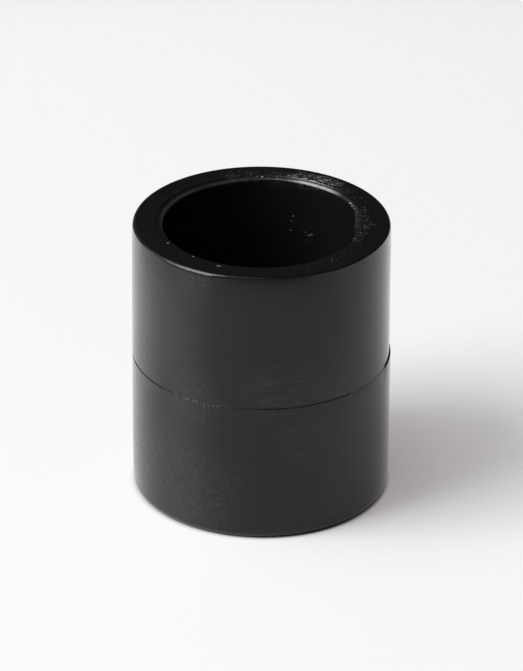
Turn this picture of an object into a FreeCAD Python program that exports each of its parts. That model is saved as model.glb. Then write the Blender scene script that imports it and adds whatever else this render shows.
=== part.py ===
import FreeCAD
import Part
import Sketcher
import math
import os

# Socket fusion coupling: one moulded polyethylene ring that joins two pipes end to end.
# It stands on its lower end face, with the origin at the centre of that face, +Z along the
# pipe axis and +X towards the side on which the lower mould half stands proud.

doc = FreeCAD.newDocument("socket_fusion_coupling")

# Driving dimensions, in millimetres and degrees
dimensions = (
    ("socket_root", 24.0, "socket diameter from the pipe stop to where the taper starts"),
    ("socket_depth", 16.0, "depth of each socket, from the end face to the pipe stop"),
    ("mouth_taper", 0.15, "how much the socket opens towards its mouth, on the radius"),
    ("taper_length", 6.0, "length of the tapered stretch of a socket, from the end face"),
    ("lead_in_width", 1.0, "width of the sloping lead-in round each mouth, on the radius"),
    ("lead_in_depth", 0.35, "depth of the lead-in below the end face"),
    ("stop_width", 4.05, "length of the pipe stop between the two sockets"),
    ("stop_rise", 2.7, "how far the stop stands in from the socket wall, on the radius"),
    ("wall_thickness", 4.08, "upper half at the parting line, from the socket's root outwards"),
    ("parting_step", 0.09, "how far the lower half stands proud of the upper one, on the radius"),
    ("mould_shift", 0.08, "sideways shift of the lower mould half along +X"),
    ("parting_rise", 0.22, "height of the parting line above the middle of the coupling"),
    ("draft_angle", 0.1, "taper of each outer half, narrowing away from the parting line"),
    ("upper_rim_round", 0.55, "radius of the outside edge at the upper end"),
    ("lower_rim_round", 0.85, "radius of the outside edge at the lower end"),
    ("mouth_break", 0.3, "bevel between the lead-in and the socket wall, along each"),
    ("root_break", 0.4, "bevel in the corner where the socket wall meets the stop, along each"),
    ("stop_break", 0.35, "bevel on both edges of the stop's bore, along each face"),
)
sheet = doc.addObject("Spreadsheet::Sheet", "sizes")
for row, (alias, size, meaning) in enumerate(dimensions, 1):
    sheet.set("A%d" % row, meaning)
    sheet.set("B%d" % row, str(size))
    sheet.setAlias("B%d" % row, alias)
doc.recompute()


def value(alias):
    return float(sheet.get(alias))


# What follows from the driving dimensions, as expressions for the features
total_length = "(2 * sizes.socket_depth + sizes.stop_width)"
middle_height = "(%s / 2)" % total_length
parting_height = "(%s + sizes.parting_rise)" % middle_height
shoulder_height = "(sizes.socket_depth + sizes.stop_width)"
mouth_radius = "(sizes.socket_root / 2 + sizes.mouth_taper)"
bore_radius = "(sizes.socket_root / 2 - sizes.stop_rise)"
outer_radius = "(sizes.socket_root / 2 + sizes.wall_thickness)"
end_face_width = "(sizes.wall_thickness - sizes.mouth_taper - sizes.lead_in_width)"

# The same as numbers, to place the first shape of a sketch and to find edges
full_z = 2 * value("socket_depth") + value("stop_width")
shoulder_z = value("socket_depth") + value("stop_width")
parting_z = full_z / 2 + value("parting_rise")
root_r = value("socket_root") / 2
mouth_r = root_r + value("mouth_taper")
bore_r = root_r - value("stop_rise")
upper_r = root_r + value("wall_thickness")
lower_r = upper_r + value("parting_step")

# The one moulded body
body = doc.addObject("PartDesign::Body", "CouplingBody")
body.Label = "coupling_body"
body.Placement = FreeCAD.Placement(FreeCAD.Vector(0, 0, 0), FreeCAD.Rotation())


def origin_item(role):
    return next(item for item in body.Origin.OriginFeatures if item.Role == role)


def level_sketch(name, height):
    """A sketch parallel to the end faces, at a height given by an expression."""
    sketch = body.newObject("Sketcher::SketchObject", name)
    sketch.AttachmentSupport = (origin_item("XY_Plane"), [""])
    sketch.MapMode = "FlatFace"
    sketch.setExpression("AttachmentOffset.Base.z", height)
    return sketch


def bind(sketch, constraint, name, expression):
    """Adds a named constraint to a sketch and ties its size to an expression."""
    index = sketch.addConstraint(constraint)
    sketch.renameConstraint(index, name)
    sketch.setExpression("Constraints." + name, expression)


def circle_sketch(name, height, radius, start_radius, shift=None):
    """A circle about the pipe axis, or one shifted along +X by an expression."""
    sketch = level_sketch(name, height)
    start = value("mould_shift") if shift else 0
    circle = Part.Circle(FreeCAD.Vector(start, 0, 0), FreeCAD.Vector(0, 0, 1), start_radius)
    sketch.addGeometry(circle, False)
    bind(sketch, Sketcher.Constraint("Radius", 0, start_radius), "outline", radius)
    if shift:
        sketch.addConstraint(Sketcher.Constraint("PointOnObject", 0, 3, -1))
        bind(sketch, Sketcher.Constraint("DistanceX", -1, 1, 0, 3, start), "shift", shift)
    else:
        sketch.addConstraint(Sketcher.Constraint("Coincident", 0, 3, -1, 1))
    return sketch


# Outside: two drafted plugs that leave the parting plane in opposite directions
def drafted_half(name, sketch, length, downwards):
    pad = body.newObject("PartDesign::Pad", name)
    pad.Profile = sketch
    pad.Reversed = downwards
    pad.setExpression("Length", length)
    pad.setExpression("TaperAngle", "-sizes.draft_angle")


upper_outline = circle_sketch("UpperOutline", parting_height, outer_radius, upper_r)
drafted_half("UpperHalf", upper_outline, "%s - %s" % (total_length, parting_height), False)
lower_outline = circle_sketch(
    "LowerOutline", parting_height, outer_radius + " + sizes.parting_step", lower_r,
    "sizes.mould_shift")
drafted_half("LowerHalf", lower_outline, parting_height, True)

# Socket: half-section of the space that the pipe end enters, drawn at the upper end.
# From the axis it runs out along the stop's shoulder, up the parallel and the tapered wall,
# out along the lead-in to the end face, and back to the axis.
section_corners = (
    (0, shoulder_z),
    (root_r, shoulder_z),
    (root_r, full_z - value("taper_length")),
    (mouth_r, full_z - value("lead_in_depth")),
    (mouth_r + value("lead_in_width"), full_z),
    (0, full_z),
)
section = body.newObject("Sketcher::SketchObject", "SocketSection")
section.AttachmentSupport = (origin_item("XZ_Plane"), [""])
section.MapMode = "FlatFace"
corner_count = len(section_corners)
for corner, start in enumerate(section_corners):
    end = section_corners[(corner + 1) % corner_count]
    line = Part.LineSegment(FreeCAD.Vector(*start, 0), FreeCAD.Vector(*end, 0))
    section.addGeometry(line, False)
for corner in range(corner_count):
    following = (corner + 1) % corner_count
    section.addConstraint(Sketcher.Constraint("Coincident", corner, 2, following, 1))
shoulder, parallel_wall, tapered_wall, lead_in, end_face, axis = range(corner_count)
section.addConstraint(Sketcher.Constraint("PointOnObject", axis, 1, -2))
section.addConstraint(Sketcher.Constraint("PointOnObject", axis, 2, -2))
section.addConstraint(Sketcher.Constraint("Horizontal", shoulder))
section.addConstraint(Sketcher.Constraint("Horizontal", end_face))
section.addConstraint(Sketcher.Constraint("Vertical", parallel_wall))
# What is measured, from which point to which (line, end), as a number and as an expression
centre = (-1, 1)
for name, kind, start, end, size, expression in (
    ("shoulder", "DistanceY", centre, (shoulder, 1), shoulder_z, shoulder_height),
    ("end_face", "DistanceY", centre, (axis, 1), full_z, total_length),
    ("root", "DistanceX", centre, (shoulder, 2), root_r, "sizes.socket_root / 2"),
    ("mouth", "DistanceX", centre, (lead_in, 1), mouth_r, mouth_radius),
    ("taper", "DistanceY", (tapered_wall, 1), (lead_in, 2), value("taper_length"),
     "sizes.taper_length"),
    ("lead_in_width", "DistanceX", (lead_in, 1), (lead_in, 2), value("lead_in_width"),
     "sizes.lead_in_width"),
    ("lead_in_depth", "DistanceY", (lead_in, 1), (lead_in, 2), value("lead_in_depth"),
     "sizes.lead_in_depth"),
):
    bind(section, Sketcher.Constraint(kind, *start, *end, size), name, expression)

upper_socket = body.newObject("PartDesign::Groove", "UpperSocket")
upper_socket.Profile = section
upper_socket.ReferenceAxis = (origin_item("Z_Axis"), [""])
upper_socket.Angle = 360.0
doc.recompute()

# The lower socket is the upper one mirrored in the middle of the coupling
middle = body.newObject("PartDesign::Plane", "MiddlePlane")
middle.AttachmentSupport = (origin_item("XY_Plane"), [""])
middle.MapMode = "FlatFace"
middle.setExpression("AttachmentOffset.Base.z", middle_height)
doc.recompute()
both_sockets = body.newObject("PartDesign::Mirrored", "BothSockets")
both_sockets.Originals = [upper_socket]
both_sockets.MirrorPlane = (middle, [""])
body.Tip = both_sockets
doc.recompute()

# Waterway: the clear bore through the stop that is left between the sockets
bore_outline = circle_sketch("BoreOutline", shoulder_height, bore_radius, bore_r)
waterway = body.newObject("PartDesign::Pocket", "Waterway")
waterway.Profile = bore_outline
waterway.setExpression("Length", "sizes.stop_width")
doc.recompute()


def rim_names(feature, places):
    """Names of a feature's round edges at the given (radius, height) places."""
    names = []
    for number, edge in enumerate(feature.Shape.Edges, 1):
        if not isinstance(edge.Curve, Part.Circle):
            continue
        for radius, height in places:
            if abs(edge.Curve.Radius - radius) < 1e-4 and abs(edge.Curve.Center.z - height) < 1e-4:
                names.append("Edge%d" % number)
    if len(names) != len(places):
        raise ValueError("%s has %d of %d edges" % (feature.Label, len(names), len(places)))
    return names


def dress_edges(kind, name, places, dimension, size):
    """Rounds or bevels the edges at the given places on the body as it is so far."""
    base = body.Tip
    dressing = body.newObject(kind, name)
    dressing.Base = (base, rim_names(base, places))
    dressing.setExpression(dimension, size)
    body.Tip = dressing
    doc.recompute()


def round_edges(name, places, radius):
    dress_edges("PartDesign::Fillet", name, places, "Radius", radius)


def bevel_edges(name, places, width):
    dress_edges("PartDesign::Chamfer", name, places, "Size", width)


def both_ends(radius, depth):
    """The same edge at both ends of the coupling, a depth below each end face."""
    return [(radius, full_z - depth), (radius, depth)]


# Edges: both outside rims are rounded, and the edges that the cores form are bevelled. Only the
# thin ledge at the parting line is sharp. A rim's round stays within its flat end face.
slope = math.tan(math.radians(value("draft_angle")))
upper_rim = (upper_r - slope * (full_z - parting_z), full_z)
lower_rim = (lower_r - slope * parting_z, 0)
rim_share = 0.8
rim_limit = "min(sizes.%%s; %s * %s)" % (rim_share, end_face_width)
round_edges("UpperRim", [upper_rim], rim_limit % "upper_rim_round")
round_edges("LowerRim", [lower_rim], rim_limit % "lower_rim_round")
bevel_edges("SocketRoots", both_ends(root_r, value("socket_depth")), "sizes.root_break")
bevel_edges("StopEdges", both_ends(bore_r, value("socket_depth")), "sizes.stop_break")
bevel_edges("SocketMouths", both_ends(mouth_r, value("lead_in_depth")), "sizes.mouth_break")

# Checks before anything is written
for item in doc.Objects:
    if "Invalid" in item.State or "Error" in item.State:
        raise RuntimeError("%s did not compute: %s" % (item.Label, item.State))
parts = [body]
os.makedirs("parts", exist_ok=True)
for part in parts:
    if part.Shape.isNull() or not part.Shape.isValid() or len(part.Shape.Solids) != 1:
        raise RuntimeError("%s is not one sound solid" % part.Label)
for part in parts:
    part.Shape.exportStep(os.path.join("parts", part.Label + ".step"))
    box = part.Shape.optimalBoundingBox(True, False)
    print("%s: %.1f x %.1f x %.1f mm, %.2f cm3" % (
        part.Label, box.XLength, box.YLength, box.ZLength, part.Shape.Volume / 1000))
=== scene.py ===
import math
import random

import bpy
from mathutils import Matrix, Vector


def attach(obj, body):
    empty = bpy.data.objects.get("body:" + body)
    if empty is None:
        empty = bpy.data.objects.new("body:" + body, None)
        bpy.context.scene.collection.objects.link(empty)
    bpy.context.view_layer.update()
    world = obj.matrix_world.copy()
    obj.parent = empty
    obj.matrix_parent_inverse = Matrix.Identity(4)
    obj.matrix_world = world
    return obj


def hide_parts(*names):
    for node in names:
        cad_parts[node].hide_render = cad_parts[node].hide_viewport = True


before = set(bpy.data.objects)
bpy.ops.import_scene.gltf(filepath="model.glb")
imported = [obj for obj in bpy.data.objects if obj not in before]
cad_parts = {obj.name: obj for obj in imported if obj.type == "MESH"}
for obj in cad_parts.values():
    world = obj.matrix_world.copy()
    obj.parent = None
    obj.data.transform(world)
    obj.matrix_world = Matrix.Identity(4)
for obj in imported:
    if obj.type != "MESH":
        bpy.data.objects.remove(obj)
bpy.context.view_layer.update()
print("frame loaded:", sorted(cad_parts))

mm = 0.001  # the coupling is written in millimetres and made in metres


def addNode(tree, kind, x, y, **settings):
    node = tree.nodes.new(kind)
    node.location = (x, y)
    for name, value in settings.items():
        setattr(node, name, value)
    return node


# value is another node's output, or a number, colour or vector to set
def plug(tree, socket, value):
    if isinstance(value, bpy.types.NodeSocket):
        tree.links.new(value, socket)
    else:
        socket.default_value = value


def mathNode(tree, operation, a, b=None, c=None, clamp=False, at=(0, 0)):
    node = addNode(tree, "ShaderNodeMath", *at, operation=operation, use_clamp=clamp)
    for socket, value in zip(node.inputs, (a, b, c)):
        if value is not None:
            plug(tree, socket, value)
    return node.outputs[0]


# Sectors are in degrees from the front towards +X: middle, half width, fade
coupling = {
    "length": 36.05,
    "socketRoot": 12.0,  # radii
    "socketMouth": 12.15,
    "stopBore": 9.3,
    "upperWall": 16.08,  # both walls at the parting line
    "lowerWall": 16.17,
    "socketDepth": 16.0,
    "taperLength": 6.0,
    "leadInWidth": 1.0,
    "leadInStep": 0.15,  # depth of the small step at its outer edge
    "leadInSlope": 0.12,  # width of that step
    "leadInDepth": 0.26,
    "faceDish": 0.05,  # the end face is lowest towards the mouth
    "partingHeight": 18.245,
    "draft": 0.1,  # degrees
    "mouldShift": 0.08,
    "upperRimRound": 0.55,
    "lowerRimRound": 0.85,
    "mouthRound": 0.38,
    "rootRound": 0.5,
    "stopRound": 0.4,
    "ledgeRound": 0.07,
    "lipRound": 0.06,
    "stepRound": 0.05,
    "topEase": 0.05,  # the wall leans in over its last stretch below the rim
    "topEaseHeight": 2.8,
    "bottomEase": 0.05,
    "bottomEaseHeight": 2.6,
    "wallDepth": 1.2,  # what is eased lies this far in or less, and the waves half as far
    "grooveWidth": 0.11,  # witness line just above the ledge
    "grooveDepth": 0.04,
    "segments": 412,
    "mergeReach": 0.0004,  # closes the ring where its last column meets the first
    "roundStep": 13,  # degrees of a round from one point to the next
    "firstStep": 0.07,  # of a straight run, whose steps grow away from its ends
    "stepGrowth": 2.2,
    "wallWave": 0.015,  # how deep the wall's faint waves are
    "waveSize": 9.0,
    "waveSeed": 3.7,
    "waveClear": (1.2, 0.8),  # they stop this far above the foot and below the top
    "ledgeWear": 0.165,  # how far the ledge is worn back where it almost vanishes
    "fadedSector": (57.87, 13.46, 4.01),
    "thinSector": (36.67, 14.90, 22.92),
    "thinShare": 0.50,
    "proudSector": (-56.15, 19.48, 8.59),  # here the ledge stands out a little further
    "proudShare": 0.21,
    "wearReach": 0.3,  # the ledge's wear fades over this length below it, slowed by the power
    "wearPower": 0.3,
    "brokenSector": (-33.23, 9.17, 8.02),  # no witness line here, nor where the ledge is faded
    "ledgeChips": 0.06,
    "chipSector": (-26.93, 14.90, 5.73),
    "chipShares": (0.4, 2.2),  # all round, and more in that sector
    "chipScale": 1200.0,  # per metre
    "chipSeed": 8.1,
    "mouthWear": 0.22,  # the mouth's edge is worn outwards and up at the back right
    "mouthLift": 0.10,
    "mouthSector": (150.0, 23.0, 28.0),
    "mouthReach": 0.5,  # the wear runs this far out over the lead-in
    "mouthFade": 0.8,  # and dies out down the bore
    "mouthBurr": 0.60,  # a ragged burr leans in over the mouth at the right
    "burrRagged": 1.2,
    "burrSector": (90.0, 6.0, 15.0),
    "paleHighlightSector": (146.86, 8.59, 10.89),  # painted highlight: the mouth's worn edge is palest here, where the key lamp's highlight falls
    "paleLeast": 0.07,
    "paleReach": 0.08,  # how far a worn edge's paleness runs on from its round
    "rimSharpen": 0.40,  # the upper rim is less rounded in these sectors; the last number is a share
    "sharpSectors": ((29.5, 44.5, 9.0, 1.0), (-68.0, 11.0, 13.0, 1.0)),
    "rimLean": 0.30,  # the wall leans in below the rim at the front, half as much at its left
    "leanHeight": 3.2,
    "leanSectors": ((3.0, 17.0, 14.0, 1.0), (-40.0, 13.0, 14.0, 0.5)),
    "rimReach": (1.5, 2.0),  # what changes at the rim dies out this far in and down
}
# What a point of the section carries after its radius and height
shareNames = ("shiftShare", "wallShare", "ledgeShare", "grooveShare", "wornAndHighlightShare",
              "mouthShare", "liftShare", "rimOut", "rimUp", "leanShare")


# Keeps a share between 0 and 1
def unit(share):
    return max(0, min(1, share))


# How much of the mouth's wear and of its lift a point of the section takes
def mouthShares(c, radius, height):
    lip, drop = c["socketMouth"] + c["leadInWidth"], c["length"] - height
    if radius > lip - c["leadInSlope"] / 2 or drop > 5 * c["mouthFade"]:
        return 0, 0
    lift = math.exp(-max(0, drop - c["leadInDepth"] - c["mouthRound"]) / c["mouthFade"])
    return unit((lip - c["leadInSlope"] - radius) / c["mouthReach"]) * lift, lift


# How far a point moves out and up for a sharper rim, and in for the wall's lean
def rimShares(c, wallRadius, radius, height):
    rim, (inwards, down) = c["upperRimRound"], c["rimReach"]
    rimX, rimZ = wallRadius - rim, c["length"] - rim
    if radius < rimX - inwards or height < rimZ - c["leanHeight"]:
        return 0, 0, 0
    out = 1 - (radius - rimX) / rim if radius > rimX else 1 - (rimX - radius) / inwards
    up = 1 - (height - rimZ) / rim if height > rimZ else 1 - (rimZ - height) / down
    lean = unit(1 - (rimZ - height) / c["leanHeight"]) ** 2
    return max(0, out), max(0, up), lean * min(1, 1 - (rimX - radius) / inwards)


# The points of a round at a corner of the section, or the corner itself
def arcPoints(before, corner, after, radius, stepAngle):
    towards = (Vector(before) - Vector(corner)).normalized()
    onwards = (Vector(after) - Vector(corner)).normalized()
    opening = math.acos(max(-1, min(1, towards.dot(onwards))))
    turn = math.pi - opening
    if radius <= 0 or turn < 0.02:  # too flat to be rounded
        return [Vector(corner)]
    reach = radius * math.tan(turn / 2)
    centre = Vector(corner) + (towards + onwards).normalized() * radius / math.cos(turn / 2)
    first = Vector(corner) + towards * reach - centre
    last = Vector(corner) + onwards * reach - centre
    steps = max(2, round(turn / stepAngle))
    points = []
    for step in range(steps + 1):
        share = step / steps
        a = math.sin((1 - share) * turn) / math.sin(turn)
        b = math.sin(share * turn) / math.sin(turn)
        points.append(centre + first * a + last * b)
    return points


# Points on a straight run, close together at its ends so that its shading stays flat
def runBetween(start, end, spacing, c):
    length = (end - start).length
    offsets, step, gone = [], c["firstStep"], c["firstStep"]
    while gone < length / 2:
        offsets.append(gone)
        step = min(step * c["stepGrowth"], spacing)
        gone += step
    places = offsets + [length - x for x in reversed(offsets)]
    if offsets and length - 2 * offsets[-1] > spacing * 1.2:
        places.insert(len(offsets), length / 2)
    return [start.lerp(end, x / length) for x in places]


# The closed section, a row for each point: radius, height and the shares that shareNames lists
def couplingSection(c):
    slope = math.tan(math.radians(c["draft"]))
    top, parting, groove = c["length"], c["partingHeight"], c["grooveWidth"]
    wallTop = c["upperWall"] - slope * (top - parting)
    wallBottom = c["lowerWall"] - slope * parting
    root, mouth, bore = c["socketRoot"], c["socketMouth"], c["stopBore"]
    lip = mouth + c["leadInWidth"]
    slopeEnd = lip - c["leadInSlope"]
    depth, shoulder = c["socketDepth"], top - c["socketDepth"]
    step, dish = c["leadInStep"] + c["faceDish"], c["faceDish"]
    corners = [  # radius, height, round, shift, spacing of the run that follows, ledge, groove, worn
        (c["lowerWall"], parting, c["ledgeRound"], 1, 0.75, 1, 0, 0),
        (wallBottom, 0, c["lowerRimRound"], 1, 0.9, 0, 0, 0),
        (lip, dish, c["lipRound"], 0, 0.1, 0, 0, 0.1),
        (slopeEnd, step, c["stepRound"], 0, 0.5, 0, 0, 0),
        (mouth, c["leadInDepth"], c["mouthRound"], 0, 1.6, 0, 0, 1),
        (root, c["taperLength"], 0, 0, 1.8, 0, 0, 0),
        (root, depth, c["rootRound"], 0, 0.8, 0, 0, 0),
        (bore, depth, c["stopRound"], 0, 1.1, 0, 0, 0),
        (bore, shoulder, c["stopRound"], 0, 0.8, 0, 0, 0),
        (root, shoulder, c["rootRound"], 0, 1.8, 0, 0, 0),
        (root, top - c["taperLength"], 0, 0, 1.6, 0, 0, 0),
        (mouth, top - c["leadInDepth"], c["mouthRound"], 0, 0.5, 0, 0, 1),
        (slopeEnd, top - step, c["stepRound"], 0, 0.1, 0, 0, 0),
        (lip, top - dish, c["lipRound"], 0, 0.9, 0, 0, 0.1),
        (wallTop, top, c["upperRimRound"], 0, 0.75, 0, 0, 0),
        (c["upperWall"], parting + groove, 0, 0, 0.1, 0, 0, 0),
        (c["upperWall"], parting + groove / 2, 0, 0, 0.1, -0.3, 1, 0),  # chipped, never worn back
        (c["upperWall"], parting, 0, 0, 0.1, -0.3, 0.5, 0),
    ]
    count = len(corners)
    rounds = []
    for i, corner in enumerate(corners):
        before, after = corners[i - 1], corners[(i + 1) % count]
        rounds.append(arcPoints(before[:2], corner[:2], after[:2], corner[2], math.radians(c["roundStep"])))

    rows = []
    for i, corner in enumerate(corners):
        shift, spacing, ledge, grooved, worn = corner[3:]
        following = (i + 1) % count
        start, end = rounds[i][-1], rounds[following][0]
        for number, point in enumerate(rounds[i]):
            # The mouth's round is worn on the side of the end face
            along = number / len(rounds[i]) if point.y > parting else 1 - number / len(rounds[i])
            fade = unit((along - 0.2) / 0.25) if corner[2] > 0.2 else 1
            rows.append([point.x, point.y, shift, 0, ledge, grooved, worn * fade,
                         *mouthShares(c, *point), *rimShares(c, wallTop, *point)])
        length = (end - start).length
        for point in runBetween(start, end, spacing, c):
            gone = (point - start).length
            near = math.exp(-min(gone, length - gone) / c["paleReach"])
            nearer = worn if gone < length / 2 else corners[following][7]
            nearer *= abs(start.x - end.x) > 0.3  # none of it down the bore
            between = shift + (corners[following][3] - shift) * gone / length
            rows.append([point.x, point.y, between, 0, 0, 0, near * nearer,
                         *mouthShares(c, *point), *rimShares(c, wallTop, *point)])
    waveColumn, ledgeColumn = shareNames.index("wallShare") + 2, shareNames.index("ledgeShare") + 2
    foot, head = c["waveClear"]
    for row in rows:
        radius, height = row[:2]
        if radius < c["upperWall"] - c["wallDepth"]:
            continue
        if radius > c["upperWall"] - c["wallDepth"] / 2 and foot < height < top - head:
            row[waveColumn] = 1.0
        if height < parting - 0.001:
            row[ledgeColumn] = max(row[ledgeColumn], math.exp((height - parting) / c["wearReach"]))
        fromTop = unit(1 - (top - height - c["upperRimRound"]) / c["topEaseHeight"])
        fromBottom = unit(1 - (height - c["lowerRimRound"]) / c["bottomEaseHeight"])
        row[0] -= c["topEase"] * fromTop ** 2 + c["bottomEase"] * fromBottom ** 2
    return rows


# The section as a ring of points and edges in the XZ plane, with its shares as attributes
def sectionObject(name, rows):
    mesh = bpy.data.meshes.new(name)
    count = len(rows)
    points = [(row[0] * mm, 0, row[1] * mm) for row in rows]
    mesh.from_pydata(points, [(i, (i + 1) % count) for i in range(count)], [])
    for column, share in enumerate(shareNames, 2):
        layer = mesh.attributes.new(share, "FLOAT", "POINT")
        layer.data.foreach_set("value", [row[column] for row in rows])
    shape = bpy.data.objects.new(name, mesh)
    bpy.context.scene.collection.objects.link(shape)
    return shape


# A geometry node tree with the given (name, socket type) inputs after its geometry
def newGroup(name, inputs):
    tree = bpy.data.node_groups.new(name, "GeometryNodeTree")
    tree.interface.new_socket("Geometry", in_out="INPUT", socket_type="NodeSocketGeometry")
    for label, kind in inputs:
        tree.interface.new_socket(label, in_out="INPUT", socket_type=kind)
    tree.interface.new_socket("Geometry", in_out="OUTPUT", socket_type="NodeSocketGeometry")
    return tree


# Every tree ends in Realize Instances and Set Material
def finishTree(tree, geometry, material, x):
    realize = addNode(tree, "GeometryNodeRealizeInstances", x, 0)
    paint = addNode(tree, "GeometryNodeSetMaterial", x + 180, 0)
    out = addNode(tree, "NodeGroupOutput", x + 360, 0)
    plug(tree, realize.inputs["Geometry"], geometry)
    plug(tree, paint.inputs["Geometry"], realize.outputs[0])
    plug(tree, paint.inputs["Material"], material)
    plug(tree, out.inputs[0], paint.outputs[0])


# The tree's sizes, and the setting that each one takes
revolveSizes = {
    "Mould Shift": "mouldShift",
    "Wall Wave": "wallWave",
    "Wave Size": "waveSize",
    "Ledge Wear": "ledgeWear",
    "Ledge Chips": "ledgeChips",
    "Groove Depth": "grooveDepth",
    "Mouth Wear": "mouthWear",
    "Mouth Lift": "mouthLift",
    "Mouth Burr": "mouthBurr",
    "Rim Sharpen": "rimSharpen",
    "Rim Lean": "rimLean",
}


def revolveTree():
    sizes = [(label, "NodeSocketFloat") for label in revolveSizes]
    inputs = [("Segments", "NodeSocketInt"), *sizes, ("Material", "NodeSocketMaterial")]
    tree = newGroup("couplingRevolve", inputs)
    given = addNode(tree, "NodeGroupInput", -1600, 0).outputs

    def calc(operation, *values, at):
        return mathNode(tree, operation, *values, at=at)

    # A grid with a column of the section's points for each segment, and one more to close it
    size = addNode(tree, "GeometryNodeAttributeDomainSize", -1400, 300, component="MESH")
    plug(tree, size.inputs[0], given["Geometry"])
    pointCount = size.outputs["Point Count"]
    ringCount = calc("ADD", pointCount, 1, at=(-1200, 300))
    columns = calc("ADD", given["Segments"], 1, at=(-1200, 150))
    grid = addNode(tree, "GeometryNodeMeshGrid", -1000, 300)
    plug(tree, grid.inputs["Vertices X"], columns)
    plug(tree, grid.inputs["Vertices Y"], ringCount)

    # The grid's points run along the section first, so their number gives both places
    index = addNode(tree, "GeometryNodeInputIndex", -1200, -50).outputs[0]
    along = calc("MODULO", index, ringCount, at=(-1000, 0))
    along = calc("MODULO", along, pointCount, at=(-820, 0))
    column = calc("DIVIDE", index, ringCount, at=(-1000, -160))
    column = calc("FLOOR", column, at=(-820, -160))
    turn = calc("DIVIDE", column, given["Segments"], at=(-640, -160))
    angle = calc("MULTIPLY", turn, 2 * math.pi, at=(-460, -160))

    # A value of the section's point, on each point of the grid
    def sampled(kind, value, y):
        node = addNode(tree, "GeometryNodeSampleIndex", -640, y, data_type=kind, domain="POINT")
        plug(tree, node.inputs["Geometry"], given["Geometry"])
        plug(tree, node.inputs["Value"], value)
        plug(tree, node.inputs["Index"], along)
        return node.outputs[0]

    position = addNode(tree, "GeometryNodeInputPosition", -860, -340).outputs[0]
    place = addNode(tree, "ShaderNodeSeparateXYZ", -460, -340)
    plug(tree, place.inputs[0], sampled("FLOAT_VECTOR", position, -340))
    radius, height = place.outputs["X"], place.outputs["Z"]
    shares = {}
    for number, name in enumerate(shareNames):
        y = -520 - 180 * number
        named = addNode(tree, "GeometryNodeInputNamedAttribute", -860, y, data_type="FLOAT")
        named.inputs["Name"].default_value = name
        shares[name] = sampled("FLOAT", named.outputs[0], y)

    cosine = calc("COSINE", angle, at=(-280, -160))
    sine = calc("SINE", angle, at=(-280, -300))
    onRing = addNode(tree, "ShaderNodeCombineXYZ", -100, -300)
    plug(tree, onRing.inputs[0], calc("MULTIPLY", cosine, radius, at=(-200, -400)))
    plug(tree, onRing.inputs[1], calc("MULTIPLY", sine, radius, at=(-200, -500)))
    plug(tree, onRing.inputs[2], height)

    def noise(scale, detail, seed, y):
        node = addNode(tree, "ShaderNodeTexNoise", 120, y, noise_dimensions="4D")
        plug(tree, node.inputs["Vector"], onRing.outputs[0])
        plug(tree, node.inputs["W"], seed)
        plug(tree, node.inputs["Scale"], scale)
        plug(tree, node.inputs["Detail"], detail)
        return node.outputs["Fac"]

    # forwards is 0 at the front (-Y) and grows towards +X
    forwards = calc("SUBTRACT", angle, 1.5 * math.pi, at=(-280, -900))

    # 1 in a sector, falling to 0 over its fade
    def sector(degrees, y):
        middle, half, fade = (math.radians(a) for a in degrees)
        off = calc("SUBTRACT", forwards, middle, at=(-100, y))
        off = calc("WRAP", off, math.pi, -math.pi, at=(-20, y))
        off = calc("ABSOLUTE", off, at=(60, y))
        off = calc("SUBTRACT", half + fade, off, at=(220, y))
        return mathNode(tree, "DIVIDE", off, fade, clamp=True, at=(380, y))

    # The strongest of several sectors, each with its own share
    def strongest(sectors, y):
        mask = None
        for number, (*degrees, share) in enumerate(sectors):
            level = y - 180 * number
            one = calc("MULTIPLY", sector(degrees, level), share, at=(480, level))
            mask = one if mask is None else calc("MAXIMUM", mask, one, at=(560, level))
        return mask

    # Faint waves of the wall, only inwards
    waveScale = calc("DIVIDE", 1.0, given["Wave Size"], at=(-60, -620))
    wave = noise(waveScale, 1.0, coupling["waveSeed"], -600)
    wave = calc("MULTIPLY", wave, shares["wallShare"], at=(320, -600))
    wave = calc("MULTIPLY", wave, given["Wall Wave"], at=(480, -600))

    # The ledge is worn back at the right and a little prouder at the left
    faded = sector(coupling["fadedSector"], -1080)
    thinned = sector(coupling["thinSector"], -1500)
    thinned = calc("MULTIPLY", thinned, coupling["thinShare"], at=(560, -1500))
    wornBack = calc("MAXIMUM", faded, thinned, at=(560, -900))
    proud = sector(coupling["proudSector"], -2450)
    wornBack = calc("MULTIPLY_ADD", proud, -coupling["proudShare"], wornBack, at=(700, -1000))
    felt = calc("MAXIMUM", shares["ledgeShare"], 0, at=(600, -700))
    felt = calc("POWER", felt, coupling["wearPower"], at=(700, -700))
    wear = calc("MULTIPLY", wornBack, given["Ledge Wear"], at=(860, -760))
    wear = calc("MULTIPLY", wear, felt, at=(940, -760))

    # Its chips, deepest at the front left
    rough = noise(coupling["chipScale"], 2.0, coupling["chipSeed"], -1250)
    rough = calc("SUBTRACT", rough, 0.5, at=(380, -1250))
    allRound, more = coupling["chipShares"]
    fierce = sector(coupling["chipSector"], -2300)
    fierce = calc("MULTIPLY_ADD", fierce, more, allRound, at=(560, -1080))
    chips = calc("MULTIPLY", rough, given["Ledge Chips"], at=(560, -1250))
    chips = calc("MULTIPLY", chips, fierce, at=(720, -1250))
    wear = calc("MULTIPLY_ADD", chips, shares["ledgeShare"], wear, at=(1020, -900))

    # The witness line above it
    whole = calc("MAXIMUM", sector(coupling["brokenSector"], -900), faded, at=(560, -1400))
    whole = calc("SUBTRACT", 1.0, whole, at=(720, -1400))
    groove = calc("MULTIPLY", whole, given["Groove Depth"], at=(860, -1400))
    wear = calc("MULTIPLY_ADD", groove, shares["grooveShare"], wear, at=(1180, -900))

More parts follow.
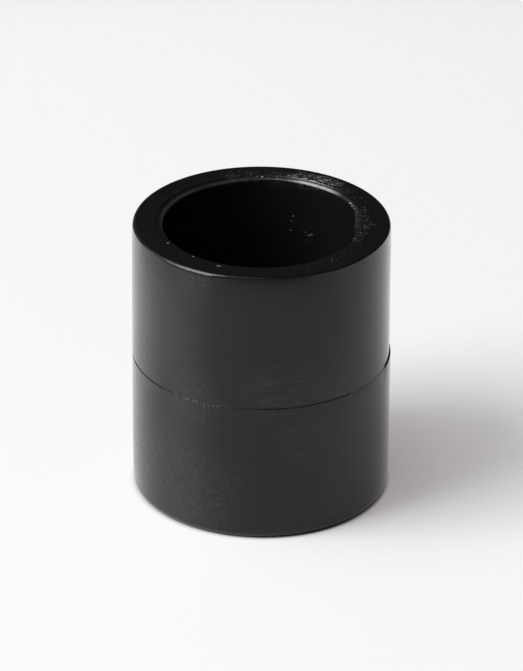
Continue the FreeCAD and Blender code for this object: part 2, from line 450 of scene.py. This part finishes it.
    # The mouth's edge has a burr at the right and is worn out and up at the back right
    ragged = calc("MULTIPLY_ADD", rough, coupling["burrRagged"], 1.0, at=(380, -3200))
    burr = calc("MULTIPLY", sector(coupling["burrSector"], -3100), ragged, at=(560, -3100))
    burrReach = calc("MULTIPLY", shares["mouthShare"], given["Mouth Burr"], at=(560, -3200))
    burr = calc("MULTIPLY", burr, burrReach, at=(720, -3100))
    wear = calc("ADD", wear, burr, at=(1220, -1000))
    backRight = sector(coupling["mouthSector"], -1700)
    outwards = calc("MULTIPLY", shares["mouthShare"], backRight, at=(560, -1700))
    outwards = calc("MULTIPLY", outwards, given["Mouth Wear"], at=(560, -1860))
    wear = calc("SUBTRACT", wear, outwards, at=(1260, -900))
    upwards = calc("MULTIPLY", shares["liftShare"], backRight, at=(560, -1780))
    height = calc("MULTIPLY_ADD", upwards, given["Mouth Lift"], height, at=(1340, -1000))

    # The upper rim, sharper in two stretches, and the wall's lean under it
    sharpen = strongest(coupling["sharpSectors"], -2600)
    sharpen = calc("MULTIPLY", sharpen, given["Rim Sharpen"], at=(720, -2600))
    sharpOut = calc("MULTIPLY", sharpen, shares["rimOut"], at=(880, -2600))
    wear = calc("SUBTRACT", wear, sharpOut, at=(1300, -900))
    height = calc("MULTIPLY_ADD", sharpen, shares["rimUp"], height, at=(1400, -1000))
    leaning = strongest(coupling["leanSectors"], -2950)
    leaning = calc("MULTIPLY", leaning, shares["leanShare"], at=(640, -2950))
    leaning = calc("MULTIPLY", leaning, given["Rim Lean"], at=(720, -2950))
    wear = calc("ADD", wear, leaning, at=(1340, -900))

    # How pale the worn edges are, palest in a painted highlight at the mouth's back right
    least = coupling["paleLeast"]
    paler = sector(coupling["paleHighlightSector"], -1900)
    paler = calc("MULTIPLY_ADD", paler, 1 - least, least, at=(560, -2000))
    worn = calc("MULTIPLY", shares["wornAndHighlightShare"], paler, at=(720, -2000))

    radius = calc("SUBTRACT", radius, wave, at=(1180, -600))
    radius = calc("SUBTRACT", radius, wear, at=(1340, -600))
    shift = calc("MULTIPLY", shares["shiftShare"], given["Mould Shift"], at=(1340, -300))
    x = calc("MULTIPLY_ADD", cosine, radius, shift, at=(1500, -200))
    y = calc("MULTIPLY", sine, radius, at=(1500, -360))
    target = addNode(tree, "ShaderNodeCombineXYZ", 1660, -260)
    for socket, value in zip(target.inputs, (x, y, height)):
        plug(tree, socket, value)
    move = addNode(tree, "GeometryNodeSetPosition", 1820, 0)
    plug(tree, move.inputs["Geometry"], grid.outputs["Mesh"])
    plug(tree, move.inputs["Position"], target.outputs[0])
    mark = addNode(tree, "GeometryNodeStoreNamedAttribute", 2000, 0, data_type="FLOAT", domain="POINT")
    plug(tree, mark.inputs["Geometry"], move.outputs[0])
    mark.inputs["Name"].default_value = "worn"
    plug(tree, mark.inputs["Value"], worn)
    merge = addNode(tree, "GeometryNodeMergeByDistance", 2180, 0)
    plug(tree, merge.inputs["Geometry"], mark.outputs[0])
    plug(tree, merge.inputs["Distance"], coupling["mergeReach"] * mm)
    smooth = addNode(tree, "GeometryNodeSetShadeSmooth", 2360, 0)
    plug(tree, smooth.inputs["Geometry"], merge.outputs[0])
    finishTree(tree, smooth.outputs[0], given["Material"], 2540)
    return tree


# Runs a tree on an object and puts its result in a plain mesh object in its place
def runTree(base, tree, values, name):
    modifier = base.modifiers.new(tree.name, "NODES")
    modifier.node_group = tree
    for item in tree.interface.items_tree:
        if item.item_type == "SOCKET" and item.in_out == "INPUT" and item.name in values:
            modifier[item.identifier] = values[item.name]
    bpy.context.view_layer.update()
    graph = bpy.context.evaluated_depsgraph_get()
    mesh = bpy.data.meshes.new_from_object(base.evaluated_get(graph), depsgraph=graph)
    mesh.name = name
    base.modifiers.clear()
    bpy.data.objects.remove(base)
    piece = bpy.data.objects.new(name, mesh)
    bpy.context.scene.collection.objects.link(piece)
    return piece


def newMaterial(name):
    material = bpy.data.materials.new(name)
    material.use_nodes = True
    tree = material.node_tree
    return material, tree, tree.nodes["Principled BSDF"]


plastic = {
    "colour": (0.0034, 0.0034, 0.0035),
    "paler": (0.0048, 0.0048, 0.0049),
    # painted light: the bore is paler than the skin, standing in for light in its dark inside
    "paintedBoreLightColour": (0.0055, 0.0055, 0.0057),
    # pale worn edges, which also paint a highlight along the mouth's edge at the back right
    "wornEdgeHighlightColour": (0.285, 0.285, 0.287),
    "scuffColour": (0.085, 0.085, 0.086),
    "dustShare": 0.2,  # of a scuff
    "rippleColour": (0.018, 0.018, 0.0182),
    "mottleColour": (0.024, 0.024, 0.0242),
    "paintedLeftLightColour": (0.033, 0.0285, 0.030),  # painted light: the left of the upper wall made paler and warmer where the key lamp falls on it
    "roughLow": 0.19,
    "roughHigh": 0.25,
    "rougher": 0.08,  # more where the skin is rough or worn
    "ior": 1.4,
    "specular": 0.37,
    "sheenCoat": 0.75,  # steepens the shine towards the edges
    "coatIor": 1.2,
    "coatRoughness": 0.15,
    "grainSize": 0.42,  # mm, as all sizes and depths here
    "grainDepth": 0.006,
    "patchDepth": 0.06,  # the grain's depth in the rough patches
    "streakWidth": 0.3,
    "streakDepth": 0.004,
    "rippleSize": 2.2,
    "rippleDepth": 0.008,
    "cloudSize": 9.0,
    "smearSize": 1.3,
    "strokeSize": 0.34,
    "patchEdge": 1.6,  # over 1 leaves the middle of a patch full
    "wallFrom": (15.5, 15.85),  # radii from which the wall's finish and the bore's painted light fade in
    "boreLightFrom": (12.9, 12.3),
    "backFrom": (-3, 3),  # behind the axis, which is 0; the worn edges and their painted highlight show only there
    "cloudNoise": (0.3, 0.7),  # the part of each noise that counts, from nothing to all of it
    "smearNoise": (0.3, 0.65),
    "flowNoise": (0.35, 0.7),
    "mottleNoise": (0.3, 0.75),
    "scuffNoise": (0.44, 0.66),
    "dustNoise": (0.46, 0.66),
    "wornNoise": (0.3, 0.5),
    "smearLeast": 0.3,  # what is left of the rough skin and of the worn edge between the smears
    "wornLeast": 0.35,
}
# Patches of the moulded skin: degrees from the front towards +X, radius, height, reach in mm
roughPatches = (
    (-29, 16, 5.5, 8.0), (-44, 16, 8.0, 8.0), (-57, 16, 34.3, 4.0), (-29, 16, 35.0, 3.0),
    (-66, 16, 19.5, 5.0), (-31, 16, 18.4, 4.5), (-78, 16, 8, 8))
# painted light on the left of the upper wall, where the key lamp falls
leftLightPatches = ((-85, 16, 27, 14),)
ripplePatches = ((4, 16, 20.4, 4.5), (16, 16, 20.6, 5.5), (32, 16, 20.2, 5.0), (20, 16, 13.6, 5.0))
scuffPatches = (
    (161, 13.6, 36, 1.5), (155, 13.5, 36, 1.7), (149, 13.8, 36, 1.8), (143, 14.0, 36, 1.5),
    (138, 14.3, 36, 1.0))
dustPatches = (
    (172, 13.3, 36, 1.9), (186, 13.4, 36, 1.7), (196, 13.3, 36, 1.3), (104, 12.6, 36, 1.2),
    (95, 12.4, 36, 1.4), (86, 12.5, 36, 1.4), (77, 12.7, 36, 1.2), (68, 12.5, 36, 1.2),
    (130, 13.6, 36, 1.4))


def satinPlastic():
    material, tree, shader = newMaterial("satinPolyethylene")
    where = addNode(tree, "ShaderNodeTexCoord", -2000, 0).outputs["Object"]
    parts = addNode(tree, "ShaderNodeSeparateXYZ", -1800, 500)
    plug(tree, parts.inputs[0], where)
    across, depthwards = parts.outputs[0], parts.outputs[1]

    def calc(operation, *values, at):
        return mathNode(tree, operation, *values, at=at)

    def noise(size, detail, y, stretch=None, roughness=0.5):
        vector = where
        if stretch:
            mapping = addNode(tree, "ShaderNodeMapping", -1280, y)
            plug(tree, mapping.inputs["Vector"], where)
            mapping.inputs["Scale"].default_value = stretch
            vector = mapping.outputs[0]
        node = addNode(tree, "ShaderNodeTexNoise", -1060, y)
        plug(tree, node.inputs["Vector"], vector)
        for label, value in (("Scale", 1000 / size), ("Detail", detail), ("Roughness", roughness)):
            node.inputs[label].default_value = value
        return node.outputs["Fac"]

    # 1 in the middle of the nearest patch, 0 from its reach on
    def patchMask(patches, y):
        edge, mask = plastic["patchEdge"], None
        for number, (degrees, radius, height, reach) in enumerate(patches):
            turn, level = math.radians(degrees), y - 160 * number
            place = (radius * mm * math.sin(turn), -radius * mm * math.cos(turn), height * mm)
            off = addNode(tree, "ShaderNodeVectorMath", -1700, level, operation="DISTANCE")
            plug(tree, off.inputs[0], where)
            off.inputs[1].default_value = place
            near = mathNode(tree, "MULTIPLY_ADD", off.outputs["Value"], -edge / (reach * mm), edge,
                            clamp=True, at=(-1520, level))
            mask = near if mask is None else calc("MAXIMUM", mask, near, at=(-1340, level))
        return mask

    # Goes from low to high as a value crosses the range that a setting gives
    def band(value, setting, x, y, low=0, high=1, scale=1):
        node = addNode(tree, "ShaderNodeMapRange", x, y)
        plug(tree, node.inputs["Value"], value)
        start, end = (a * scale for a in plastic[setting])
        for label, limit in (("From Min", start), ("From Max", end), ("To Min", low), ("To Max", high)):
            node.inputs[label].default_value = limit
        return node.outputs[0]

    def blend(share, a, b, x, y):
        node = addNode(tree, "ShaderNodeMix", x, y, data_type="RGBA")
        plug(tree, node.inputs["Factor"], share)
        for label, colour in (("A", a), ("B", b)):
            made = isinstance(colour, bpy.types.NodeSocket)
            plug(tree, node.inputs[label], colour if made else (*colour, 1))
        return node.outputs["Result"]

    radius = calc("MULTIPLY", depthwards, depthwards, at=(-1600, 700))
    radius = calc("MULTIPLY_ADD", across, across, radius, at=(-1440, 700))
    radius = calc("SQRT", radius, at=(-1280, 700))
    grain = noise(plastic["grainSize"], 1.5, 0)
    clouds = noise(plastic["cloudSize"], 2.0, -260)
    streaks = noise(plastic["streakWidth"], 1.0, -520, stretch=(1, 1, 0.03))
    ripples = noise(plastic["rippleSize"], 1.5, -780, stretch=(1, 1, 5.0))
    smears = noise(plastic["smearSize"], 3.0, -1040, roughness=0.65)
    strokes = noise(plastic["strokeSize"], 2.0, -1300, stretch=(0.4, 1, 1), roughness=0.6)

    # Where each finish and each painted light lies: the wall, the bore's painted light, the back, the
    # patches and the painted light on the left
    onWall = band(radius, "wallFrom", -900, 1350, scale=mm)
    # painted light: the bore is made paler from its mouth inwards
    boreLight = band(radius, "boreLightFrom", -1100, 700, scale=mm)
    atBack = band(depthwards, "backFrom", -1100, 900, scale=mm)
    smeared = band(smears, "smearNoise", -900, 1200, low=plastic["smearLeast"])
    roughSkin = calc("MULTIPLY", patchMask(roughPatches, 1400), smeared, at=(-700, 1200))
    roughSkin = calc("MULTIPLY", roughSkin, onWall, at=(-540, 1200))
    # painted light: the left of the upper wall is made paler where the lamp lights it
    paintedLeftLight = calc("MULTIPLY", patchMask(leftLightPatches, 7600), onWall, at=(-700, 1500))
    flow = band(ripples, "flowNoise", -900, -700)
    flow = calc("MULTIPLY", patchMask(ripplePatches, 300), flow, at=(-700, -700))
    mottled = band(grain, "mottleNoise", -900, 2600)
    mottled = calc("MULTIPLY", roughSkin, mottled, at=(-700, 2600))
    scuffed = band(strokes, "scuffNoise", -900, 2000)
    scuffed = calc("MULTIPLY", patchMask(scuffPatches, 3400), scuffed, at=(-700, 2000))
    dusty = band(strokes, "dustNoise", -900, 2300, high=plastic["dustShare"])
    dusty = calc("MULTIPLY", patchMask(dustPatches, 5600), dusty, at=(-700, 2300))
    scuffed = calc("MAXIMUM", scuffed, dusty, at=(-540, 2100))
    # the worn edges' paleness, kept to the back, also paints the highlight on the mouth's edge
    edge = addNode(tree, "ShaderNodeAttribute", -1300, 1000)
    edge.attribute_type, edge.attribute_name = "GEOMETRY", "worn"
    patchy = band(smears, "wornNoise", -900, 1050, low=plastic["wornLeast"])
    worn = calc("MULTIPLY", edge.outputs["Fac"], atBack, at=(-900, 900))
    worn = calc("MULTIPLY", worn, patchy, at=(-720, 900))

    # Colour, from the plain skin to the pale worn edge, with the bore's painted light, the painted light on
    # the left and the painted highlight on the worn mouth edge
    skin = blend(clouds, plastic["colour"], plastic["paler"], -560, 500)
    skin = blend(boreLight, skin, plastic["paintedBoreLightColour"], -500, 500)
    skin = blend(paintedLeftLight, skin, plastic["paintedLeftLightColour"], -440, 500)
    skin = blend(flow, skin, plastic["rippleColour"], -380, 500)
    skin = blend(mottled, skin, plastic["mottleColour"], -320, 500)
    skin = blend(scuffed, skin, plastic["scuffColour"], -260, 500)
    skin = blend(worn, skin, plastic["wornEdgeHighlightColour"], -200, 500)
    plug(tree, shader.inputs["Base Color"], skin)

    rough = band(clouds, "cloudNoise", -560, -20, plastic["roughLow"], plastic["roughHigh"])
    rough = calc("MULTIPLY_ADD", roughSkin, plastic["rougher"], rough, at=(-380, -20))
    rough = calc("MULTIPLY_ADD", worn, plastic["rougher"], rough, at=(-220, -20))
    plug(tree, shader.inputs["Roughness"], rough)

    patchDepth, grainDepth = plastic["patchDepth"] * mm, plastic["grainDepth"] * mm
    relief = calc("MULTIPLY_ADD", roughSkin, patchDepth, grainDepth, at=(-560, -300))
    relief = calc("MULTIPLY", grain, relief, at=(-400, -300))
    relief = calc("MULTIPLY_ADD", streaks, plastic["streakDepth"] * mm, relief, at=(-400, -460))
    relief = calc("MULTIPLY_ADD", flow, plastic["rippleDepth"] * mm, relief, at=(-400, -620))
    bump = addNode(tree, "ShaderNodeBump", -200, -320)
    bump.inputs["Strength"].default_value = 1.0
    bump.inputs["Distance"].default_value = 1.0
    plug(tree, bump.inputs["Height"], relief)
    plug(tree, shader.inputs["Normal"], bump.outputs[0])
    shader.inputs["IOR"].default_value = plastic["ior"]
    shader.inputs["Specular IOR Level"].default_value = plastic["specular"]
    shader.inputs["Coat Weight"].default_value = plastic["sheenCoat"]
    shader.inputs["Coat IOR"].default_value = plastic["coatIor"]
    shader.inputs["Coat Roughness"].default_value = plastic["coatRoughness"]
    return material


section = couplingSection(coupling)
revolveValues = {label: coupling[setting] * mm for label, setting in revolveSizes.items()}
revolveValues["Segments"] = coupling["segments"]
revolveValues["Material"] = satinPlastic()
body = runTree(sectionObject("couplingSection", section), revolveTree(), revolveValues, "couplingBody")
print("coupling:", len(body.data.vertices), "points,", len(body.data.polygons), "faces")
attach(body, "root")
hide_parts("coupling_body")

# Flecks and burrs of scuffed plastic: small closed lumps, sunk at least half into the surface.
# Degrees run from the front towards +X; sizes are half widths in mm, paleness is their grey.
flecks = {
    "seed": 11,
    "flat": 0.35,  # thickness as a share of the size, up to the thickest
    "thickest": 0.06,
    "below": 0.006,  # their tops stay this far below the end face's level
    "faceEdge": 15.6,  # the end face's outline is read up to this radius
    "faceDepth": 0.75,
    "ledgeSink": 0.04,  # how far those at the ledge sit in from the wall and below its edge
    "ledgeDrop": 0.5,
    "mottleScale": 9000,  # per metre
    "mottleShares": (0.6, 0.8),  # least, and what the noise adds
    "roughness": 0.45,
    "clusters": (  # count, from and to degrees, inner and outer radius, least and most size, paleness
        (60, 138, 166, 13.2, 14.9, 0.05, 0.12, 0.20),
        (30, 166, 202, 12.8, 14.6, 0.05, 0.12, 0.07),
        (34, 64, 112, 12.2, 13.6, 0.07, 0.22, 0.017),
        (16, 112, 138, 13.2, 14.8, 0.04, 0.10, 0.05),
        (14, 232, 262, 12.6, 13.6, 0.05, 0.12, 0.03),
        (12, 296, 345, 12.6, 15.2, 0.04, 0.09, 0.03),
        (10, 20, 60, 12.6, 15.0, 0.04, 0.09, 0.03),
    ),
    "marks": (  # degrees, radius, size, stretch, turn from the tangent, paleness
        (179.7, 12.80, 0.16, 1.0, 0, 0.30),
        (171.2, 12.30, 0.15, 1.0, 0, 0.26),
        (297.4, 12.90, 0.14, 1.3, 20, 0.30),
        (318.8, 12.55, 0.11, 1.8, 10, 0.22),
        (337.7, 13.42, 0.12, 4.0, 4, 0.12),
        (339.1, 15.20, 0.14, 1.2, 50, 0.20),
        (150.5, 13.30, 0.14, 5.0, 4, 0.26),
        (147.5, 13.80, 0.12, 4.5, -4, 0.24),
        (145.5, 14.30, 0.11, 4.0, 3, 0.20),
        (155.5, 13.45, 0.12, 3.0, 20, 0.22),
        (150.5, 14.40, 0.12, 2.5, -10, 0.24),
        (141.0, 15.10, 0.15, 1.8, 30, 0.14),
        (116.7, 12.30, 0.20, 1.6, 30, 0.24),
        (113.5, 12.25, 0.18, 1.4, 70, 0.18),
        (110.9, 12.20, 0.14, 1.3, 0, 0.12),
        (86.5, 13.95, 0.05, 17.0, 82, 0.035),
        (39.1, 13.70, 0.11, 1.5, 0, 0.06),
        (86.0, 12.95, 0.26, 1.3, 20, 0.030),
        (83.5, 13.30, 0.16, 1.6, -30, 0.022),
        (78.0, 12.75, 0.20, 1.5, 60, 0.020),
        (70.0, 12.30, 0.20, 1.7, 80, 0.040),
    ),
    "boreMarks": (  # degrees, height, size, stretch, paleness
        (160.6, 31.1, 0.18, 1.6, 0.019),
        (161.4, 30.4, 0.14, 1.0, 0.014),
        (161.8, 29.1, 0.16, 2.0, 0.011),
        (152.7, 29.2, 0.12, 2.0, 0.022),
        (150.0, 28.9, 0.16, 2.6, 0.019),
        (147.9, 29.1, 0.17, 1.8, 0.036),
        (152.0, 28.1, 0.14, 1.2, 0.009),
        (145.5, 35.4, 0.14, 1.2, 0.068),
    ),
    "ledge": (22, -45, -17, 0.06, 0.20, 0.05),  # count, from and to degrees, sizes, paleness
}


def fleckPlaces(rows):
    dice = random.Random(flecks["seed"])
    top = coupling["length"]
    faceLow, faceEdge = top - flecks["faceDepth"], flecks["faceEdge"]
    face = sorted((row[0], row[1]) for row in rows if row[1] > faceLow and row[0] < faceEdge)

    def faceHeight(radius):
        for (r0, z0), (r1, z1) in zip(face, face[1:]):
            if r0 <= radius <= r1:
                return z0 + (z1 - z0) * (radius - r0) / max(r1 - r0, 1e-6)
        return face[-1][1]

    def nearness(degrees, sector):
        middle, half, fade = coupling[sector]
        return unit((half + fade - abs(degrees - middle)) / fade)

    # facing is 0 for the end face, 1 for the wall and -1 for the bore
    def spot(degrees, radius, height, facing, size, stretch, turn, pale):
        a = math.radians(degrees)
        out, up = Vector((math.sin(a), -math.cos(a), 0)), Vector((0, 0, 1))
        normal = out * facing if facing else up
        side = up.cross(out)
        basis = Matrix((side, normal.cross(side), normal)).transposed().to_4x4()
        euler = (basis @ Matrix.Rotation(math.radians(turn), 4, "Z")).to_euler()
        thick = min(size * flecks["flat"], flecks["thickest"])
        wear, lift = mouthShares(coupling, radius, height)
        near, nearBurr = nearness(degrees, "mouthSector"), nearness(degrees, "burrSector")
        radius += wear * (near * coupling["mouthWear"] - nearBurr * coupling["mouthBurr"])
        height += near * lift * coupling["mouthLift"]
        place = out * radius + up * min(height, top - thick - flecks["below"])
        return place, euler, Vector((size * stretch, size, thick)), pale

    places = []
    for count, low, high, inner, outer, least, most, pale in flecks["clusters"]:
        for _ in range(count):
            radius = dice.uniform(inner, outer)
            size = least + (most - least) * dice.random() ** 2
            places.append(spot(dice.uniform(low, high), radius, faceHeight(radius), 0, size,
                               dice.uniform(1, 2.4), dice.uniform(-60, 60), pale * dice.uniform(0.3, 1)))
    for degrees, radius, size, stretch, turn, pale in flecks["marks"]:
        places.append(spot(degrees, radius, faceHeight(radius), 0, size, stretch, turn, pale))
    taper = coupling["socketMouth"] - coupling["socketRoot"]
    for degrees, height, size, stretch, pale in flecks["boreMarks"]:
        bore = coupling["socketMouth"] - taper * min(1, (top - height) / coupling["taperLength"])
        places.append(spot(degrees, bore, height, -1, size, stretch, dice.uniform(-40, 40), pale))
    count, low, high, least, most, pale = flecks["ledge"]
    sink = flecks["ledgeSink"]
    for _ in range(count):
        size = dice.uniform(least, most)
        height = coupling["partingHeight"] - sink - flecks["ledgeDrop"] * dice.random() ** 2
        places.append(spot(dice.uniform(low, high), coupling["lowerWall"] - sink, height, 1, size,
                           dice.uniform(1, 2.5), dice.uniform(-25, 25), pale * dice.uniform(0.3, 1)))
    return places


def fleckPoints(places):
    mesh = bpy.data.meshes.new("fleckPlaces")
    mesh.from_pydata([place * mm for place, euler, size, pale in places], [], [])
    for name, kind, field, values in (
            ("fleckTurn", "FLOAT_VECTOR", "vector", [v for item in places for v in item[1]]),
            ("fleckSize", "FLOAT_VECTOR", "vector", [v * mm for item in places for v in item[2]]),
            ("fleckPale", "FLOAT", "value", [item[3] for item in places])):
        mesh.attributes.new(name, kind, "POINT").data.foreach_set(field, values)
    shape = bpy.data.objects.new("fleckPlaces", mesh)
    bpy.context.scene.collection.objects.link(shape)
    return shape


def fleckTree():
    tree = newGroup("seatFlecks", (("Roundness", "NodeSocketInt"), ("Material", "NodeSocketMaterial")))
    given = addNode(tree, "NodeGroupInput", -800, 0).outputs
    lump = addNode(tree, "GeometryNodeMeshIcoSphere", -600, -200)
    lump.inputs["Radius"].default_value = 1.0
    plug(tree, lump.inputs["Subdivisions"], given["Roundness"])
    smooth = addNode(tree, "GeometryNodeSetShadeSmooth", -400, -200)
    plug(tree, smooth.inputs["Geometry"], lump.outputs["Mesh"])
    seat = addNode(tree, "GeometryNodeInstanceOnPoints", -200, 0)
    plug(tree, seat.inputs["Points"], given["Geometry"])
    plug(tree, seat.inputs["Instance"], smooth.outputs[0])
    for name, socket, y in (("fleckTurn", "Rotation", -400), ("fleckSize", "Scale", -560)):
        named = addNode(tree, "GeometryNodeInputNamedAttribute", -600, y, data_type="FLOAT_VECTOR")
        named.inputs["Name"].default_value = name
        plug(tree, seat.inputs[socket], named.outputs[0])
    finishTree(tree, seat.outputs[0], given["Material"], 0)
    return tree


def scuffedPlastic():
    material, tree, shader = newMaterial("scuffedPolyethylene")
    pale = addNode(tree, "ShaderNodeAttribute", -700, 100)
    pale.attribute_type, pale.attribute_name = "GEOMETRY", "fleckPale"
    where = addNode(tree, "ShaderNodeTexCoord", -900, -200).outputs["Object"]
    mottle = addNode(tree, "ShaderNodeTexNoise", -700, -200)
    plug(tree, mottle.inputs["Vector"], where)
    mottle.inputs["Scale"].default_value = flecks["mottleScale"]
    least, more = flecks["mottleShares"]
    shade = mathNode(tree, "MULTIPLY_ADD", mottle.outputs["Fac"], more, least, at=(-500, -200))
    shade = mathNode(tree, "MULTIPLY", pale.outputs["Fac"], shade, at=(-320, 0))
    tone = addNode(tree, "ShaderNodeMix", -140, 0, data_type="RGBA")
    plug(tree, tone.inputs["Factor"], shade)
    tone.inputs["A"].default_value = (0, 0, 0, 1)
    tone.inputs["B"].default_value = (1, 0.99, 0.985, 1)
    plug(tree, shader.inputs["Base Color"], tone.outputs["Result"])
    shader.inputs["Roughness"].default_value = flecks["roughness"]
    shader.inputs["IOR"].default_value = plastic["ior"]
    return material


scuffs = runTree(
    fleckPoints(fleckPlaces(section)), fleckTree(),
    {"Roundness": 1, "Material": scuffedPlastic()}, "couplingFlecks")
print("flecks:", len(scuffs.data.polygons), "faces")
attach(scuffs, "root")


# The floor, the lamps and the camera are written in metres
studio = {
    "floorHalf": 1.2,
    "floorColour": (0.583, 0.606, 0.600),
    "floorRoughness": 0.45,
    "floorSpecular": 0.8,
    "floorGlow": 0.312,  # what the pale table adds for the camera and in reflections
    "glowColour": (1, 0.918, 0.941),
    "contactShadeReach": (0.0156, 0.0166),  # painted contact shadow: no glow within the first radius, so the floor darkens under the coupling's edge; all of it beyond the second
    "paleReach": (0.13, 0.34),  # the pale sheet fades out between these distances, a painted shade that stands in for the unlit room in reflections
    "darkRoomShare": 0.25,
    "ambient": 0.03,
    "lampsAim": 0.018,  # the height that the lamps look at
}


def makeFloor():
    half = studio["floorHalf"]
    mesh = bpy.data.meshes.new("floor")
    corners = [(-half, -half, 0), (half, -half, 0), (half, half, 0), (-half, half, 0)]
    mesh.from_pydata(corners, [], [(0, 1, 2, 3)])
    floor = bpy.data.objects.new("floor", mesh)
    bpy.context.scene.collection.objects.link(floor)
    material, tree, shader = newMaterial("paleTable")
    where = addNode(tree, "ShaderNodeTexCoord", -1100, 200).outputs["Object"]
    away = addNode(tree, "ShaderNodeVectorMath", -900, 200, operation="LENGTH")
    plug(tree, away.inputs[0], where)

    # Goes smoothly from one value to the other between two distances from the middle
    def smoothStep(reach, near, far, y):
        node = addNode(tree, "ShaderNodeMapRange", -700, y, interpolation_type="SMOOTHSTEP")
        plug(tree, node.inputs["Value"], away.outputs["Value"])
        node.inputs["From Min"].default_value, node.inputs["From Max"].default_value = reach
        node.inputs["To Min"].default_value, node.inputs["To Max"].default_value = near, far
        return node.outputs[0]

    # painted shade: the floor's colour and glow darken away from the middle, as the unlit room would look
    # in reflections
    fade = smoothStep(studio["paleReach"], 1.0, studio["darkRoomShare"], 200)
    # painted contact shadow: the glow is taken away under and just around the coupling
    clear = smoothStep(studio["contactShadeReach"], 0.0, 1.0, -400)
    tone = addNode(tree, "ShaderNodeMix", -400, 200, data_type="RGBA")
    plug(tree, tone.inputs["Factor"], fade)
    tone.inputs["A"].default_value = (0, 0, 0, 1)
    tone.inputs["B"].default_value = (*studio["floorColour"], 1)
    plug(tree, shader.inputs["Base Color"], tone.outputs["Result"])
    shader.inputs["Roughness"].default_value = studio["floorRoughness"]
    shader.inputs["Specular IOR Level"].default_value = studio["floorSpecular"]
    path = addNode(tree, "ShaderNodeLightPath", -700, -200).outputs
    seen = mathNode(tree, "MAXIMUM", path["Is Camera Ray"], path["Is Glossy Ray"], at=(-500, -200))
    seen = mathNode(tree, "MAXIMUM", seen, path["Is Transmission Ray"], at=(-420, -200))
    seen = mathNode(tree, "MULTIPLY", seen, fade, at=(-340, -200))
    seen = mathNode(tree, "MULTIPLY", seen, clear, at=(-260, -200))
    glow = mathNode(tree, "MULTIPLY", seen, studio["floorGlow"], at=(-180, -200))
    shader.inputs["Emission Color"].default_value = (*studio["glowColour"], 1)
    plug(tree, shader.inputs["Emission Strength"], glow)
    mesh.materials.append(material)


# An area lamp that looks at the coupling's middle
def lampAt(name, around, up, away, size, power):
    data = bpy.data.lights.new(name, "AREA")
    data.shape = "RECTANGLE"
    data.size, data.size_y = size
    data.energy = power
    lamp = bpy.data.objects.new(name, data)
    a, e = math.radians(around), math.radians(up)
    out = Vector((-math.cos(a) * math.cos(e), -math.sin(a) * math.cos(e), math.sin(e)))
    lamp.location = Vector((0, 0, studio["lampsAim"])) + out * away
    lamp.rotation_euler = out.to_track_quat("Z", "Y").to_euler()
    bpy.context.scene.collection.objects.link(lamp)


# Name, degrees round from -X towards the front, degrees up, distance, size, power
lamps = (
    ("keyPanel", 20.0, 41.0, 1.6, (0.92, 1.35), 33.2),
    ("topPanel", 17.0, 66.0, 1.6, (1.6, 1.3), 14.6),
)
makeFloor()
for lamp in lamps:
    lampAt(*lamp)
world = bpy.data.worlds.new("studioRoom")
world.use_nodes = True
background = world.node_tree.nodes["Background"]
background.inputs["Color"].default_value = (1, 1, 1, 1)
background.inputs["Strength"].default_value = studio["ambient"]
bpy.context.scene.world = world
print("floor and light made")

view = {
    "distance": 0.642,  # from the coupling's middle, which is this high
    "middle": 0.01806,
    "height": 0.3159,  # above the floor
    "down": 27.480,  # degrees below the horizon
    "right": 0.008,
    "roll": 0.374,
    "lens": 275.2,
    "sensor": 36,
    "clip": (0.05, 20),
}
cameraData = bpy.data.cameras.new("camera")
cameraData.lens = view["lens"]
cameraData.sensor_width = view["sensor"]
cameraData.clip_start, cameraData.clip_end = view["clip"]
camera = bpy.data.objects.new("camera", cameraData)
bpy.context.scene.collection.objects.link(camera)
back = math.sqrt(view["distance"] ** 2 - (view["height"] - view["middle"]) ** 2)
camera.matrix_world = (
    Matrix.Translation((0, -back, view["height"]))
    @ Matrix.Rotation(math.radians(-view["right"]), 4, "Z")
    @ Matrix.Rotation(math.radians(90 - view["down"]), 4, "X")
    @ Matrix.Rotation(math.radians(view["roll"]), 4, "Z"))
bpy.context.scene.camera = camera
bpy.context.scene.view_settings.view_transform = "Standard"
print("camera set")
